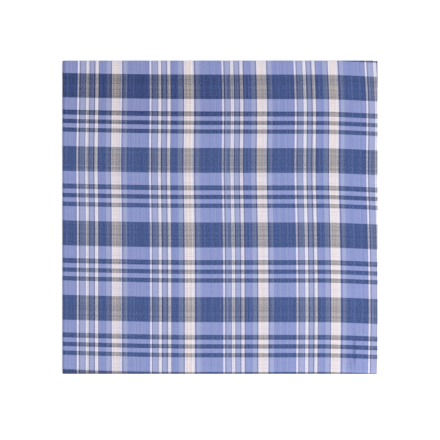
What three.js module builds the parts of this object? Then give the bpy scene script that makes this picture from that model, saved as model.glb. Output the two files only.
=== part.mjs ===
// A cotton pocket square, folded in half to the left and in half again towards its wearer, lying flat.
// Millimetres: +X runs to the right, +Y away from the second fold, +Z up from the surface it lies on.
// The origin is under the middle of the folded cloth.
import * as THREE from "three";

// Driving dimensions
const FOLDED_WIDTH = 165.0; // from the side fold to the hemmed edges at the right
const FOLDED_DEPTH = 163.9; // from the lower fold to the hemmed edges at the top
const LAYER = 1.0; // one layer of cloth
const GAP = 0.3; // air between two layers
const UNDER_SHORT = 0.6; // the under half's hems lie this far inside the upper half's
const HEM = { width: 5.0, proud: 0.1 }; // turned to the back of the cloth, which it thickens

const PITCH = LAYER + GAP;
const SIDE_FOLD_RADIUS = PITCH / 2; // to the middle of the layer that turns
const LOWER_FOLD_RADIUS = PITCH; // to the middle of the two layers that turn together
const HEIGHT = 4 * LAYER + 3 * GAP;

// How much of the flat cloth's half lies between a fold's crown line and the edge across from it
const SIDE_ARC = (Math.PI * SIDE_FOLD_RADIUS) / 2;
const LOWER_ARC = (Math.PI * LOWER_FOLD_RADIUS) / 2;
const SIDE_REACH = SIDE_FOLD_RADIUS + LAYER / 2;
const LOWER_REACH = LOWER_FOLD_RADIUS + PITCH / 2 + LAYER / 2;
const HALF_WIDTH = FOLDED_WIDTH - SIDE_REACH + SIDE_ARC;
const HALF_DEPTH = FOLDED_DEPTH - LOWER_REACH + LOWER_ARC;

// Stretches of the flat cloth between grid lines, from one cut edge over the fold to the other.
// Each ends at a distance from the fold's crown line and is cut into even steps.
const ACROSS = [
  { start: UNDER_SHORT - HALF_WIDTH },
  { end: UNDER_SHORT + HEM.width - HALF_WIDTH, steps: 2 },
  { end: -SIDE_ARC, steps: 12 },
  { end: SIDE_ARC, steps: 8 },
  { end: 150, steps: 14 },
  { end: 158, steps: 6 },
  { end: HALF_WIDTH - HEM.width, steps: 1 },
  { end: HALF_WIDTH, steps: 2 },
];
const ALONG = [
  { start: UNDER_SHORT - HALF_DEPTH },
  { end: UNDER_SHORT + HEM.width - HALF_DEPTH, steps: 2 },
  { end: -LOWER_ARC, steps: 12 },
  { end: LOWER_ARC, steps: 8 },
  { end: 24, steps: 6 },
  { end: HALF_DEPTH - HEM.width, steps: 10 },
  { end: HALF_DEPTH, steps: 2 },
];

// Places where the upper layers lift a little, measured from the middle of the folded cloth.
// lean turns the place's long side, in degrees from +Y towards +X.
const LIFTS = [
  { name: "pucker by the lower fold", x: 72.4, y: -72.5, wide: 2.2, long: 9.0, lean: 5, rise: 0.7 },
  { name: "swell in the middle", x: -8, y: 6, wide: 42, long: 36, lean: 20, rise: 0.25 },
  { name: "swell by the side fold", x: -62, y: -28, wide: 20, long: 40, lean: -8, rise: 0.2 },
  { name: "swell by the corner", x: 58, y: 60, wide: 26, long: 18, lean: 35, rise: 0.25 },
];

function gridLines(stretches) {
  const lines = [stretches[0].start];
  for (const { end, steps } of stretches.slice(1)) {
    const from = lines.at(-1);
    for (let i = 1; i <= steps; i++) lines.push(from + ((end - from) * i) / steps);
  }
  return lines;
}

// The cloth before folding: a thin box with the grid lines where the folds, hems and pucker need them.
function flatCloth() {
  const across = gridLines(ACROSS);
  const along = gridLines(ALONG);
  const columns = across.length - 1;
  const rows = along.length - 1;
  const cloth = new THREE.BoxGeometry(columns, rows, LAYER, columns, rows, 1);
  const point = cloth.getAttribute("position");
  for (let i = 0; i < point.count; i++) {
    const column = Math.round(point.getX(i) + columns / 2);
    const row = Math.round(point.getY(i) + rows / 2);
    const x = across[column];
    const y = along[row];
    const z = point.getZ(i);
    point.setXYZ(i, x, y, z < 0 ? z - hemRise(x, y) : z);
  }
  return cloth;
}

// How far a hem, turned to the back of the cloth, stands out from it.
function hemRise(x, y) {
  const fromSide = x > 0 ? HALF_WIDTH - x : x + HALF_WIDTH - UNDER_SHORT;
  const fromEnd = y > 0 ? HALF_DEPTH - y : y + HALF_DEPTH - UNDER_SHORT;
  const inside = Math.min(fromSide, fromEnd) - HEM.width;
  return HEM.proud * THREE.MathUtils.clamp(-inside / (HEM.width / 2), 0, 1);
}

// Takes cloth that runs both ways from a fold's crown line round that fold.
// offset is the distance out from the surface whose radius is given.
function turn(run, radius, offset) {
  const arc = (Math.PI * radius) / 2;
  const angle = THREE.MathUtils.clamp(run / radius, -Math.PI / 2, Math.PI / 2);
  return {
    along: Math.max(Math.abs(run) - arc, 0) - (radius + offset) * Math.cos(angle),
    up: radius + (radius + offset) * Math.sin(angle),
  };
}

function lift(x, y) {
  let sum = 0;
  for (const place of LIFTS) {
    const lean = THREE.MathUtils.degToRad(place.lean);
    const dx = x - place.x;
    const dy = y - place.y;
    const sideways = (dx * Math.cos(lean) - dy * Math.sin(lean)) / place.wide;
    const lengthways = (dx * Math.sin(lean) + dy * Math.cos(lean)) / place.long;
    sum += place.rise * Math.exp(-(sideways ** 2) - lengthways ** 2);
  }
  return sum;
}

// Carries a point of the flat cloth round the side fold, then round the lower fold with the layer it lies on.
function folded(flat) {
  const side = turn(flat.x, SIDE_FOLD_RADIUS, flat.z);
  const lower = turn(flat.y, LOWER_FOLD_RADIUS, side.up - PITCH / 2);
  const x = side.along + SIDE_REACH - FOLDED_WIDTH / 2;
  const y = lower.along + LOWER_REACH - FOLDED_DEPTH / 2;
  const z = lower.up + PITCH / 2 + LAYER / 2;
  return new THREE.Vector3(x, y, z + (z / HEIGHT) * lift(x, y));
}

function pocketSquare() {
  const cloth = flatCloth();
  const point = cloth.getAttribute("position");
  const flat = new THREE.Vector3();
  for (let i = 0; i < point.count; i++) {
    flat.fromBufferAttribute(point, i);
    point.setXYZ(i, ...folded(flat).toArray());
  }
  cloth.computeVertexNormals();
  const cotton = new THREE.MeshStandardMaterial({ color: 0x7c8abc, roughness: 0.9, metalness: 0 });
  const mesh = new THREE.Mesh(cloth, cotton);
  mesh.name = "pocket_square";
  return mesh;
}

const part = new THREE.Group();
part.add(pocketSquare());

export default part;
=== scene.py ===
import math

import bmesh
import bpy
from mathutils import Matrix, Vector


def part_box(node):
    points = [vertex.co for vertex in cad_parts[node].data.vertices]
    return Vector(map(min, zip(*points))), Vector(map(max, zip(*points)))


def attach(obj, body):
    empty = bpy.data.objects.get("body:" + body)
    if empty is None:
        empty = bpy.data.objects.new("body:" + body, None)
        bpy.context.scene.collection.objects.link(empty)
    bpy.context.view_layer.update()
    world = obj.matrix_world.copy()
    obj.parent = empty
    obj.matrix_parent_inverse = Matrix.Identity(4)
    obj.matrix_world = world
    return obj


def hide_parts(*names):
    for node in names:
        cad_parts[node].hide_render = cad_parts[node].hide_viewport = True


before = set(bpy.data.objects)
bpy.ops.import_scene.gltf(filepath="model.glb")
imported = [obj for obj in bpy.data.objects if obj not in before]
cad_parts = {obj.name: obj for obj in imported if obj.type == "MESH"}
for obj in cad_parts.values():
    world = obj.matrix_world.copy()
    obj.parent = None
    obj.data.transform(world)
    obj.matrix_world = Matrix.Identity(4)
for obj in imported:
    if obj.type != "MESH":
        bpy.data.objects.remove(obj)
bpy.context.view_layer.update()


# The square of cotton, cut flat
# One square of yarn-dyed shirting cotton lies flat with its face up. Its two fold lines cross at the
# origin: the side fold runs up the cloth and the lower fold runs across it. It is cut with an
# allowance all round that the hem takes up.
MM = 0.001
CLOTH_THICKNESS = 0.32 * MM
LAYER_ROOM = 1.0 * MM  # the height that one layer takes up in the stack, which a turned hem fills
LAYER_GAP = 0.3 * MM
UNDER_SHORT = 0.6 * MM  # the under half's hems lie this far inside the upper half's

low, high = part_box("pocket_square")
folded_width = high.x - low.x
folded_depth = high.y - low.y
layer_pitch = LAYER_ROOM + LAYER_GAP
stack_height = 4 * LAYER_ROOM + 3 * LAYER_GAP

side_fold_radius = layer_pitch / 2  # to the middle of the one layer that turns
lower_fold_radius = layer_pitch  # to the middle of the two layers that turn together
side_fold_arc = math.pi * side_fold_radius / 2
lower_fold_arc = math.pi * lower_fold_radius / 2
side_fold_reach = side_fold_radius + LAYER_ROOM / 2
lower_fold_reach = lower_fold_radius + layer_pitch / 2 + LAYER_ROOM / 2
half_width = folded_width - side_fold_reach + side_fold_arc
half_depth = folded_depth - lower_fold_reach + lower_fold_arc
hem_round = LAYER_ROOM / 2  # the hem's outer edge is a half circle

# Where the grid lines of the cloth lie: each stretch ends at a place and is cut into even steps.
ACROSS = [
    {"start": UNDER_SHORT + hem_round - half_width},
    {"end": -side_fold_arc, "steps": 70},
    {"end": side_fold_arc, "steps": 12},
    {"end": 146 * MM, "steps": 62},
    {"end": 160 * MM, "steps": 40},
    {"end": half_width - hem_round, "steps": 3},
]
ALONG = [
    {"start": UNDER_SHORT + hem_round - half_depth},
    {"end": -lower_fold_arc, "steps": 70},
    {"end": lower_fold_arc, "steps": 16},
    {"end": 30 * MM, "steps": 22},
    {"end": half_depth - hem_round, "steps": 58},
]


def grid_lines(stretches):
    lines = [stretches[0]["start"]]
    for stretch in stretches[1:]:
        start, steps = lines[-1], stretch["steps"]
        lines += [start + (stretch["end"] - start) * i / steps for i in range(1, steps + 1)]
    return lines


def cut_square():
    columns = grid_lines(ACROSS)
    rows = grid_lines(ALONG)
    square = bmesh.new()
    bmesh.ops.create_grid(square, x_segments=len(columns) - 1, y_segments=len(rows) - 1, size=1)
    for vert in square.verts:
        column = round((vert.co.x + 1) / 2 * (len(columns) - 1))
        row = round((vert.co.y + 1) / 2 * (len(rows) - 1))
        vert.co = columns[column], rows[row], (LAYER_ROOM - CLOTH_THICKNESS) / 2
    return square


cloth = cut_square()


# The hem
# All four edges are turned twice to the back of the cloth, with mitred corners, and blind-stitched
# there, so no sewing shows on the face. The outer turn is round and the raw edge lies inside it.
HEM_WIDTH = 5 * MM
ROUND_STEPS = 8
TUCK_STEPS = 4

hem_radius = (LAYER_ROOM - CLOTH_THICKNESS) / 2
tuck_radius = hem_radius / 2
flap_width = HEM_WIDTH - hem_round - tuck_radius


def hem_section():
    """The hem's section from the cloth's flat edge on, as steps of (outward, up)."""
    section = [(0, hem_radius)]
    for step in range(1, ROUND_STEPS + 1):
        angle = math.pi * step / ROUND_STEPS
        section.append((hem_radius * math.sin(angle), hem_radius * math.cos(angle)))
    section.append((-flap_width / 2, -hem_radius))
    section.append((-flap_width, -hem_radius))
    for step in range(1, TUCK_STEPS + 1):
        angle = math.pi * step / TUCK_STEPS
        section.append(
            (-flap_width - tuck_radius * math.sin(angle), -tuck_radius - tuck_radius * math.cos(angle))
        )
    section.append((-flap_width / 2, 0))
    section.append((0, 0))
    return section


def turn_hem(square):
    """Turns the hem and keeps, for each point, its place in the flat cut cloth. Returns its allowance."""
    cut_place = square.verts.layers.float_vector.new("cut place")
    outward = square.verts.layers.float_vector.new("outward")
    right, left = half_width - hem_round, UNDER_SHORT + hem_round - half_width
    top, bottom = half_depth - hem_round, UNDER_SHORT + hem_round - half_depth
    near = 0.01 * MM
    for vert in square.verts:
        x, y = vert.co.x, vert.co.y
        vert[cut_place] = x, y, 0
        vert[outward] = (x > right - near) - (x < left + near), (y > top - near) - (y < bottom + near), 0
    edge = [e for e in square.edges if e.is_boundary]
    allowance = 0.0
    section = hem_section()
    for (out_from, up_from), (out_to, up_to) in zip(section, section[1:]):
        run = math.hypot(out_to - out_from, up_to - up_from)
        allowance += run
        turned = bmesh.ops.extrude_edge_only(square, edges=edge)["geom"]
        points = {item for item in turned if isinstance(item, bmesh.types.BMVert)}
        for vert in points:
            out = vert[outward].copy()
            vert.co += out * (out_to - out_from)
            vert.co.z += up_to - up_from
            vert[cut_place] = vert[cut_place] + out * run
        edge = [e for e in turned if isinstance(e, bmesh.types.BMEdge) and set(e.verts) <= points]
    return allowance


hem_allowance = turn_hem(cloth)


# How the yarns lie in the cloth
# The yarns run straight on the loom, but the hems and folds draw them out of line. The layer on top
# takes the longest way round the lower fold, so its weft is pulled down towards that fold, except
# at the side fold, which holds it level with the layer below.
WEFT_SLIP = 1.45 * MM  # how far the lower fold pulls the weft down
SLIP_REACH = 66 * MM  # the side fold holds the weft back over this distance
SLIP_CURVE = 1.5  # above 1, a hold or a pull fades fast at first and then slowly
HELD_AT_TOP = 0.53  # the share of that hold that is left at the top hem
TOP_DRAW = 0.95 * MM  # how far the top hem draws the weft down
TOP_DRAW_REACH = 45 * MM
TOP_DRAW_WIDENS = 35 * MM  # how much farther it reaches at the side hem
TOP_DRAW_CURVE = 1.5
TOP_ROLL = 0.24 * MM  # how much more the weft is drawn where the top hem turns
TOP_ROLL_REACH = 4 * MM
SIDE_DROP = 1.25 * MM  # how far the weft sinks at the side hem
SIDE_DROP_LESS = 0.25  # the share of that drop that is lost towards the lower fold
SIDE_DROP_REACH = 28 * MM
SIDE_DROP_CURVE = 1.3
# How far the warp leans to the right at the side hem, in millimetres: (below the top hem, lean)
WARP_LEAN = [(0, -1.4), (15, -0.55), (26, -0.15), (40, 0), (68, 0), (112, 0.9), (126, 1.0), (164, 1.1)]
LEAN_START = 26 * MM  # from the side fold
WARP_BULGE = 0.37 * MM  # how far the warp bends to the left, most of all a third of the way down
BULGE_MIDDLE = 54 * MM  # below the top hem
BULGE_REACH = 20 * MM
SIDE_DRAW = 0.85 * MM  # how far the side hem draws the warp in
SIDE_DRAW_REACH = 24 * MM
CORNER_DRAW = 0.5 * MM  # how far the warp turns in where the side hem meets the lower fold
CORNER_REACH = 70 * MM
CORNER_HEIGHT = 27 * MM
FOLD_PUSH = 0.4 * MM  # how far the side fold pushes the warp away from it
FOLD_PUSH_AT_TOP = 0.3 * MM  # and how much farther at the top hem
FOLD_PUSH_TOP_REACH = 30 * MM
FOLD_PUSH_REACH = 60 * MM

face_way = math.pi * (side_fold_radius + hem_radius) / 2 - side_fold_arc  # the face's longer way round


def limited(value):
    return max(-1.0, min(1.0, value))


def fading(distance, reach, curve=1.0):
    """From 1 where the distance is nothing down to 0 at the reach."""
    return max(0.0, min(1.0, 1 - distance / reach)) ** curve


def between(stations, place):
    for (start, start_value), (end, end_value) in zip(stations, stations[1:]):
        if place <= end:
            share = max(0.0, (place - start) / (end - start))
            return start_value + (end_value - start_value) * share
    return stations[-1][1]


def yarn_place(across, up):
    """The warp's and the weft's own coordinates at a place in the cut cloth."""
    from_side_fold = abs(across)
    from_side_hem = half_width - from_side_fold
    from_lower_fold = abs(up)
    from_top = half_depth - from_lower_fold
    down = from_top / half_depth

    hold = HELD_AT_TOP + (1 - HELD_AT_TOP) * down
    slip = WEFT_SLIP * (1 - hold * fading(from_side_fold, SLIP_REACH, SLIP_CURVE))
    round_side = limited(across / side_fold_arc)
    weft = up + slip * round_side * limited(up / lower_fold_arc)
    side_drop = SIDE_DROP * (1 - SIDE_DROP_LESS * down)
    weft += side_drop * fading(from_side_hem, SIDE_DROP_REACH, SIDE_DROP_CURVE)
    top_draw_reach = TOP_DRAW_REACH + TOP_DRAW_WIDENS * from_side_fold / half_width
    weft += TOP_DRAW * fading(from_top, top_draw_reach, TOP_DRAW_CURVE)
    weft += TOP_ROLL * fading(from_top, TOP_ROLL_REACH)

    spread = (from_side_fold - LEAN_START) / (half_width - LEAN_START)
    lean = between(WARP_LEAN, from_top / MM) * MM * spread
    bulge = WARP_BULGE * math.exp(-(((from_top - BULGE_MIDDLE) / BULGE_REACH) ** 2))
    draw = SIDE_DRAW * math.exp(-((from_side_hem / SIDE_DRAW_REACH) ** 2))
    draw += CORNER_DRAW * fading(from_side_hem, CORNER_REACH) * fading(from_lower_fold, CORNER_HEIGHT)
    push = FOLD_PUSH + FOLD_PUSH_AT_TOP * fading(from_top, FOLD_PUSH_TOP_REACH)
    push *= fading(from_side_fold, FOLD_PUSH_REACH)
    warp = across - lean + bulge + draw + (face_way - push) * round_side
    return warp, weft


def map_yarns(square):
    cut_place = square.verts.layers.float_vector["cut place"]
    yarns = square.loops.layers.uv.new("yarns")
    for face in square.faces:
        for loop in face.loops:
            across, up, _ = loop.vert[cut_place]
            loop[yarns].uv = yarn_place(across, up)


map_yarns(cloth)


# The two folds
# The cloth is folded in half to the left, then in half again from below, and pressed by hand. It
# lies a little unevenly: it swells where the layers hold air, and a short crease with small puckers
# beside it stands near the right end of the lower fold.

# Places where it lifts or sinks, in millimetres from the middle of the folded cloth. lean turns a
# place's long side, in degrees from straight up the cloth towards the right.
LIFTS = [
    {"x": 74.5, "y": -71, "wide": 4, "long": 8, "lean": 5, "rise": 0.45},
    {"x": 69.5, "y": -70, "wide": 1.1, "long": 8.5, "lean": 0, "rise": -0.9},
    {"x": 71.3, "y": -70, "wide": 1.2, "long": 8.5, "lean": 0, "rise": 0.6},
    {"x": 68.85, "y": -76.4, "wide": 0.65, "long": 4, "lean": -8, "rise": 1},
    {"x": -8, "y": 6, "wide": 42, "long": 36, "lean": 20, "rise": 0.25},
    {"x": -62, "y": -28, "wide": 20, "long": 40, "lean": -8, "rise": 0.2},
    {"x": 58, "y": 60, "wide": 26, "long": 18, "lean": 35, "rise": 0.25},
]
LOWER_SWELL = 0.07 * MM  # how far the lower fold swells out
CORNER_POINT = 0.9 * MM  # how far the corner of the two folds is drawn out


def turn(run, radius, offset):
    """Takes cloth that runs both ways from a fold's crown line round that fold, as (along, up)."""
    angle = math.pi / 2 * limited(run / (math.pi * radius / 2))
    flat = max(abs(run) - math.pi * radius / 2, 0)
    return flat - (radius + offset) * math.cos(angle), radius + (radius + offset) * math.sin(angle)


def lift(x, y):
    total = 0.0
    for place in LIFTS:
        lean = math.radians(place["lean"])
        dx, dy = x / MM - place["x"], y / MM - place["y"]
        sideways = (dx * math.cos(lean) - dy * math.sin(lean)) / place["wide"]
        lengthways = (dx * math.sin(lean) + dy * math.cos(lean)) / place["long"]
        total += place["rise"] * math.exp(-(sideways**2) - lengthways**2)
    return total * MM


def fold(square):
    for vert in square.verts:
        along_width, up_side = turn(vert.co.x, side_fold_radius, vert.co.z)
        along_depth, up = turn(vert.co.y, lower_fold_radius, up_side - layer_pitch / 2)
        at_side_crown = 1 - abs(up_side - side_fold_radius) / (side_fold_radius + vert.co.z)
        at_lower_crown = 1 - abs(limited(vert.co.y / lower_fold_arc))
        x = along_width + side_fold_reach + low.x
        y = along_depth + lower_fold_reach + low.y
        y -= (LOWER_SWELL + CORNER_POINT * at_side_crown) * at_lower_crown
        z = up + (layer_pitch + LAYER_ROOM) / 2
        vert.co = x, y, z + z / stack_height * lift(x, y)


fold(cloth)

mesh = bpy.data.meshes.new("pocket_square_cloth")
cloth.to_mesh(mesh)
cloth.free()
pocket_square = bpy.data.objects.new("pocket_square_cloth", mesh)
bpy.context.scene.collection.objects.link(pocket_square)
for polygon in mesh.polygons:
    polygon.use_smooth = True

thickness = pocket_square.modifiers.new("cloth thickness", "SOLIDIFY")
thickness.thickness = CLOTH_THICKNESS
thickness.offset = 0.0


# The plaid
# The cotton is a plain weave of dyed yarns. The warp is striped in blue, pale blue, cream and white,
# the weft is banded in light blue and navy, and the two make the plaid where they cross.
WARP_PITCH = 0.3259 * MM
WEFT_PITCH = 0.3282 * MM
YARN_COLOURS = {
    "blue": (0.028, 0.082, 0.28),
    "pale": (0.215, 0.255, 0.375),
    "ivory": (0.88, 0.815, 0.72),
    "cream": (0.945, 0.785, 0.54),
    "white": (0.93, 0.885, 0.92),
    "dusk": (0.02, 0.005, 0.03),
    "light": (0.40, 0.42, 0.69),
    "navy": (0.024, 0.0445, 0.137),
}
# How much of the face each weft yarn leaves to the warp
WARP_SHOWS = {"light": 0.5, "navy": 0.295}
# One repeat of the warp, in ends from the white line towards the right
WARP_REPEAT = [
    ("white", 3),
    ("dusk", 2),
    ("pale", 8),
    ("dusk", 1),
    ("ivory", 5),
    ("dusk", 2),
    ("pale", 6),
    ("dusk", 2),
    ("ivory", 5),
    ("dusk", 2),
    ("blue", 11),
    ("pale", 7),
    ("dusk", 2),
    ("ivory", 2),
    ("cream", 10),
    ("ivory", 4),
    ("dusk", 2),
    ("blue", 1),
    ("pale", 6),
    ("blue", 35),
    ("dusk", 1),
]
# One repeat of the weft, in picks from the lower edge of a broad navy band upwards
WEFT_REPEAT = [
    ("navy", 40),
    ("light", 23),
    ("navy", 7),
    ("light", 7),
    ("navy", 7),
    ("light", 7),
    ("navy", 8),
    ("light", 20),
]
WHITE_LINE_START = 7.89 * MM  # right of the side fold's crown line
NAVY_BAND_START = 28.15 * MM  # above the lower fold's crown line
# Each yarn's shade, as a share of its dye's colour, and how that changes along it
DARKEST_YARN = 0.8
SHADE_RANGE = 0.2
SLUB_SHADE = 0.2
SLUBS_PER_METRE = 150.0
YARN_STEP = 5.3  # keeps one yarn's slubs unlike the next one's
# How the share of the warp on the face changes from crossing to crossing
OVER_UNDER = 0.42
THICK_ENDS = 0.2
THICK_PICKS = 0.17
SLUB_COVER = 0.4
EVEN_SHARE = 0.55  # a weft that left this much to the warp would hide its slubs
SPOTS_PER_YARN = 0.65
SPOT_CONTRAST = 2.4
# The share of the face that lies open in gaps, each at the most
REED_ENDS = 6
REED_GAP = 0.12
END_GAP = 0.035
PICK_GAP = 0.025
SPOT_GAP = 0.22
SPOT_SHUT = 0.32  # the yarns close up in spots below this value
BELOW_COLOUR = (0.30, 0.34, 0.60)  # of the layer below, seen through the gaps
# Along the crown of each fold the colour is darkened, as painted shade
LOWER_CROWN_SHADE = {"reach": 2.15 * MM, "loss": 0.45}
SIDE_CROWN_SHADE = {"reach": 1.05 * MM, "loss": 0.25}
# Near the top hem, most of all towards the side fold, a patch of the cloth is painted darker, as painted
# shade
SHADE_PATCH_PLACE = {"across": 31 * MM, "wide": 90 * MM, "below top": 16 * MM, "high": 22 * MM}
SHADE_PATCH_COVER = 0.3  # how much more of the warp the navy picks hide in that painted shade
SHADE_PATCH_LOSS = (0.022, 0.032, 0.062)  # the light taken off the colour there, as painted shade
SHADE_PATCH_GAIN = 0.06  # how much brighter the dyes are made there, under that painted shade


def plaid_cotton():
    material = bpy.data.materials.new("plaid_cotton")
    material.use_nodes = True
    tree = material.node_tree
    shader = tree.nodes["Principled BSDF"]

    def node(kind, *values, **settings):
        made = tree.nodes.new(kind)
        for name, value in settings.items():
            setattr(made, name, value)
        for socket, value in zip(made.inputs, values):
            if isinstance(value, bpy.types.NodeSocket):
                tree.links.new(value, socket)
            elif value is not None:
                socket.default_value = value
        return made

    def maths(operation, *values, clamp=False):
        return node("ShaderNodeMath", *values, operation=operation, use_clamp=clamp).outputs[0]

    def stripes(place, repeat, alpha):
        """The colour of the yarn at a place, counted in yarns, of a repeat."""
        count = sum(yarns for _, yarns in repeat)
        share = maths("FRACT", maths("DIVIDE", maths("ADD", maths("FLOOR", place), 0.5), count))
        ramp = node("ShaderNodeValToRGB", share)
        ramp.color_ramp.interpolation = "CONSTANT"
        stops = ramp.color_ramp.elements
        start = 0
        for number, (name, yarns) in enumerate(repeat):
            stop = stops[number] if number < 2 else stops.new(start / count)
            stop.position = start / count
            stop.color = (*YARN_COLOURS[name], alpha.get(name, 1.0))
            start += yarns
        return ramp

    yarns = node("ShaderNodeUVMap", uv_map="yarns").outputs["UV"]
    across, up, _ = node("ShaderNodeSeparateXYZ", yarns).outputs
    end = maths("DIVIDE", maths("SUBTRACT", across, WHITE_LINE_START), WARP_PITCH)
    pick = maths("DIVIDE", maths("SUBTRACT", up, NAVY_BAND_START), WEFT_PITCH)
    warp = stripes(end, WARP_REPEAT, {})
    weft = stripes(pick, WEFT_REPEAT, WARP_SHOWS)

    def chance(*numbers):
        """A random value from 0 to 1 for each yarn, or for each crossing of two yarns."""
        place = node("ShaderNodeCombineXYZ", *(maths("FLOOR", number) for number in numbers))
        return node("ShaderNodeTexWhiteNoise", place.outputs[0], noise_dimensions="2D").outputs["Value"]

    # Each yarn is a little lighter or darker than the next, and is uneven along its length.
    def uneven(colour, number, along):
        side = maths("MULTIPLY", maths("FLOOR", number), YARN_STEP)
        place = node("ShaderNodeCombineXYZ", side, maths("MULTIPLY", along, SLUBS_PER_METRE))
        slubs = node("ShaderNodeTexNoise", place.outputs[0], noise_dimensions="2D")
        slubs.inputs["Scale"].default_value = 1.0
        slubs.inputs["Detail"].default_value = 1.0
        shade = maths("MULTIPLY_ADD", chance(number), SHADE_RANGE, DARKEST_YARN)
        shade = maths("MULTIPLY_ADD", slubs.outputs["Fac"], SLUB_SHADE, shade)
        scaled = node("ShaderNodeVectorMath", colour, operation="SCALE")
        tree.links.new(shade, scaled.inputs["Scale"])
        return scaled.outputs[0]

    warp_colour = uneven(warp.outputs["Color"], end, up)
    weft_colour = uneven(weft.outputs["Color"], pick, across)

    def nearness(place, middle, reach, power):
        """From 1 at the middle down to a third at the reach, and flatter for a higher power."""
        offset = maths("ABSOLUTE", maths("DIVIDE", maths("SUBTRACT", place, middle), reach))
        return maths("EXPONENT", maths("MULTIPLY", maths("POWER", offset, power), -1.0))

    # In that patch of painted shade, navy picks hide more of the warp, and light is taken off the colour.
    shade_patch = maths(
        "MULTIPLY",
        nearness(across, SHADE_PATCH_PLACE["across"], SHADE_PATCH_PLACE["wide"], 2),
        nearness(up, half_depth - SHADE_PATCH_PLACE["below top"], SHADE_PATCH_PLACE["high"], 4),
    )

    # Over and under: above zero a warp end lies on top, below zero a weft pick does.
    end_wave = maths("SINE", maths("MULTIPLY", end, math.pi))
    pick_wave = maths("SINE", maths("MULTIPLY", pick, math.pi))
    over = maths("MULTIPLY", end_wave, pick_wave)
    # A thicker end shows more of itself, and a thicker pick less of the warp. Slubs do the same in
    # spots of a few crossings, most of all between navy picks.
    shows = weft.outputs["Alpha"]
    crossing = node("ShaderNodeCombineXYZ", end, pick).outputs[0]
    spots = node("ShaderNodeTexNoise", crossing, noise_dimensions="2D")
    spots.inputs["Scale"].default_value = SPOTS_PER_YARN
    spots.inputs["Detail"].default_value = 0.0
    spot = spots.outputs["Fac"]
    spot = maths("MULTIPLY_ADD", spot, SPOT_CONTRAST, 0.5 - SPOT_CONTRAST / 2, clamp=True)
    # In the patch of painted shade the navy picks are made to hide more of the warp.
    more = maths("MULTIPLY", shade_patch, -SHADE_PATCH_COVER)
    more = maths("MULTIPLY_ADD", maths("SUBTRACT", spot, 0.5), SLUB_COVER, more)
    cover = maths("MULTIPLY_ADD", more, maths("SUBTRACT", EVEN_SHARE, shows), shows)
    cover = maths("MULTIPLY_ADD", maths("SUBTRACT", chance(end), 0.5), THICK_ENDS, cover)
    cover = maths("MULTIPLY_ADD", maths("SUBTRACT", chance(pick), 0.5), THICK_PICKS, cover)
    cover = maths("MULTIPLY_ADD", over, OVER_UNDER, cover, clamp=True)

    def blend(share, under, top):
        mix = node("ShaderNodeMix", data_type="RGBA")
        for socket, value in ((0, share), (6, under), (7, top)):
            if isinstance(value, bpy.types.NodeSocket):
                tree.links.new(value, mix.inputs[socket])
            else:
                mix.inputs[socket].default_value = value
        return mix.outputs[2]

    face = blend(cover, weft_colour, warp_colour)

    # Fine gaps between the yarns show a little of the layer below. They are wider where the reed
    # parted the warp, after every sixth end, and in spots where the yarns lie loose.
    dent = maths("DIVIDE", end, REED_ENDS)
    reed_wave = maths("MULTIPLY_ADD", maths("SINE", maths("MULTIPLY", dent, 2 * math.pi)), 0.5, 0.5)
    gap = maths("MULTIPLY", maths("MULTIPLY", maths("POWER", reed_wave, 2), chance(dent)), REED_GAP)
    gap = maths("MULTIPLY_ADD", chance(end), END_GAP, gap)
    gap = maths("MULTIPLY_ADD", chance(pick), PICK_GAP, gap)
    gap = maths("MULTIPLY_ADD", maths("SUBTRACT", spot, SPOT_SHUT), SPOT_GAP, gap, clamp=True)
    face = blend(gap, face, (*BELOW_COLOUR, 1))

    # The colour is darkened as painted shade along the crown of each fold and in the patch near the top
    # hem.
    kept = maths("MULTIPLY_ADD", shade_patch, SHADE_PATCH_GAIN, 1.0)
    for place, crown in ((up, LOWER_CROWN_SHADE), (across, SIDE_CROWN_SHADE)):
        crown_shade = maths("MULTIPLY", nearness(place, 0.0, crown["reach"], 4), crown["loss"])
        kept = maths("MULTIPLY", kept, maths("SUBTRACT", 1.0, crown_shade))
    strong = node("ShaderNodeVectorMath", face, operation="SCALE")
    tree.links.new(kept, strong.inputs["Scale"])
    # Painted shade: light is taken off the colour in the patch near the top hem.
    loss = node("ShaderNodeVectorMath", SHADE_PATCH_LOSS, operation="SCALE")
    tree.links.new(shade_patch, loss.inputs["Scale"])
    deeper = node("ShaderNodeVectorMath", strong.outputs[0], loss.outputs[0], operation="SUBTRACT")
    tree.links.new(deeper.outputs[0], shader.inputs["Base Color"])

    # Each yarn stands out a little from the face where it lies on top.
    rounded = maths("POWER", maths("ABSOLUTE", over), 0.5)
    bump = node("ShaderNodeBump")
    bump.inputs["Strength"].default_value = 0.5
    bump.inputs["Distance"].default_value = 0.06 * MM
    tree.links.new(rounded, bump.inputs["Height"])
    tree.links.new(bump.outputs["Normal"], shader.inputs["Normal"])
    shader.inputs["Roughness"].default_value = 0.9
    shader.inputs["Specular IOR Level"].default_value = 0.25
    shader.inputs["Sheen Weight"].default_value = 0.1
    shader.inputs["Sheen Roughness"].default_value = 0.5
    return material


mesh.materials.append(plaid_cotton())
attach(pocket_square, "root")
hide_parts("pocket_square")


# The surface under the cloth
# A plain pale board, matt and larger than the camera's view. It glows a little, as painted light, so the
# cloth casts no shadow that stands out.
BOARD_SIDE = 2.4
BOARD_THICKNESS = 12 * MM

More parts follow.
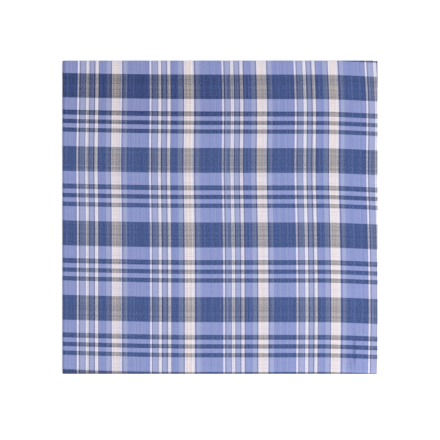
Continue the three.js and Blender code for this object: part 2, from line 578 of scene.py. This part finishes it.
board_mesh = bpy.data.meshes.new("board")
board_shape = bmesh.new()
bmesh.ops.create_cube(board_shape, size=1)
bmesh.ops.scale(board_shape, vec=(BOARD_SIDE, BOARD_SIDE, BOARD_THICKNESS), verts=board_shape.verts)
bmesh.ops.translate(board_shape, vec=(0, 0, low.z - BOARD_THICKNESS / 2), verts=board_shape.verts)
board_shape.to_mesh(board_mesh)
board_shape.free()
board = bpy.data.objects.new("board", board_mesh)
bpy.context.scene.collection.objects.link(board)

board_finish = bpy.data.materials.new("pale_board")
board_finish.use_nodes = True
board_shader = board_finish.node_tree.nodes["Principled BSDF"]
board_shader.inputs["Base Color"].default_value = (0.93, 0.93, 0.93, 1)
board_shader.inputs["Roughness"].default_value = 0.95
# Painted light: the board glows, though it is no lamp.
board_shader.inputs["Emission Color"].default_value = (1, 1, 1, 1)
board_shader.inputs["Emission Strength"].default_value = 0.45
board_mesh.materials.append(board_finish)


# The light
# Soft light from all round, and one wide lamp on the right, in front of the cloth, whose light falls
# at half a right angle and brings out the crease.
SKY_STRENGTH = 0.85
LAMP_PLACE = (0.42, -0.30, 0.50)
LAMP_SIDE = 0.35
LAMP_POWER = 3.0

world = bpy.data.worlds.new("soft_light")
world.use_nodes = True
world.node_tree.nodes["Background"].inputs["Color"].default_value = (1, 1, 1, 1)
world.node_tree.nodes["Background"].inputs["Strength"].default_value = SKY_STRENGTH
bpy.context.scene.world = world

lamp_data = bpy.data.lights.new("lamp", "AREA")
lamp_data.shape = "SQUARE"
lamp_data.size = LAMP_SIDE
lamp_data.energy = LAMP_POWER
lamp = bpy.data.objects.new("lamp", lamp_data)
lamp.location = LAMP_PLACE
bpy.context.scene.collection.objects.link(lamp)
lamp.rotation_euler = (-lamp.location).to_track_quat("-Z", "Y").to_euler()


# The camera
# It looks straight down through a long lens, at a point a little nearer to the lower fold than the
# cloth's middle.
LENS_MM = 300
SENSOR_MM = 36
VIEW_WIDTH = 230 * MM  # what the camera takes in at the height of the cloth's face
VIEW_MIDDLE_Y = -1.4 * MM

camera_data = bpy.data.cameras.new("camera")
camera_data.lens = LENS_MM
camera_data.sensor_width = SENSOR_MM
camera = bpy.data.objects.new("camera", camera_data)
camera.location = (0, VIEW_MIDDLE_Y, stack_height + VIEW_WIDTH * LENS_MM / SENSOR_MM)
bpy.context.scene.collection.objects.link(camera)
bpy.context.scene.camera = camera
bpy.context.scene.view_settings.view_transform = "Standard"
